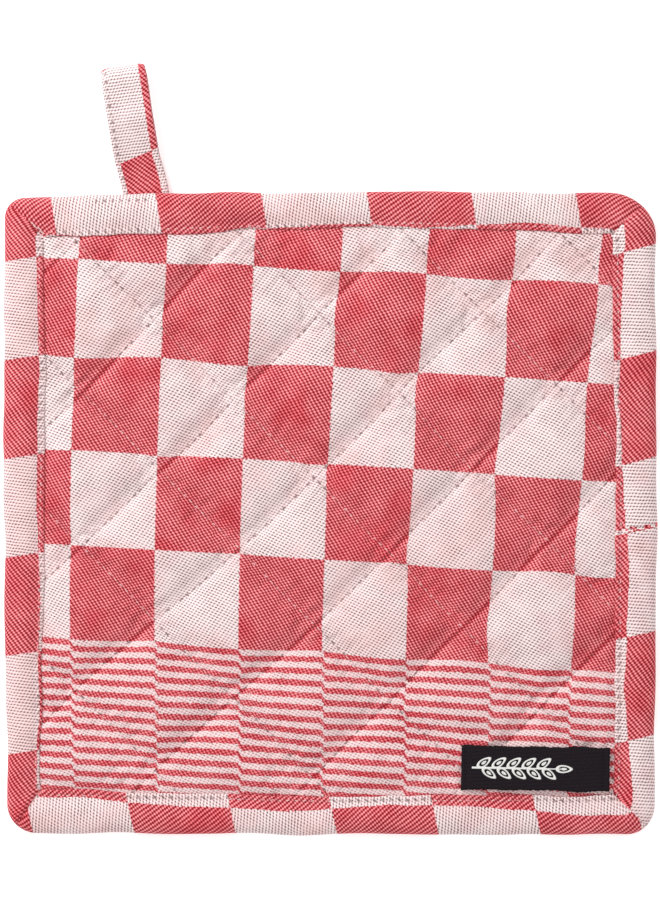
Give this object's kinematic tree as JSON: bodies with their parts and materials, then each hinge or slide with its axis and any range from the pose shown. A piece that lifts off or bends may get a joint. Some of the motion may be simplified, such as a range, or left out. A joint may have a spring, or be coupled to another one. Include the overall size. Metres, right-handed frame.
{
  "type": "quilted pot holder",
  "caption": "Square quilted cotton pot holder in a woven check, bound all round, with a hanging loop at one corner and a small sewn label.",
  "frame": {"origin": "centre of the square, on the flat back that it lies on", "axes": "+Z out of the face, +Y towards the side with the hanging loop, +X to the right as seen from the face"},
  "size_m": [0.2005, 0.2372, 0.0094],
  "materials": {
    "check_cloth": "matte cotton woven in red and white checks with a striped border",
    "binding_tape": "matte cotton tape cut from the checked cloth",
    "loop_tape": "matte cotton tape cut from the checked cloth",
    "label_weave": "fine black label weave with an off-white motif"
  },
  "bodies": {
    "root": {"quilted_pad": "check_cloth", "edge_binding": "binding_tape", "hanging_loop": "loop_tape", "label": "label_weave"}
  },
  "joints": []
}
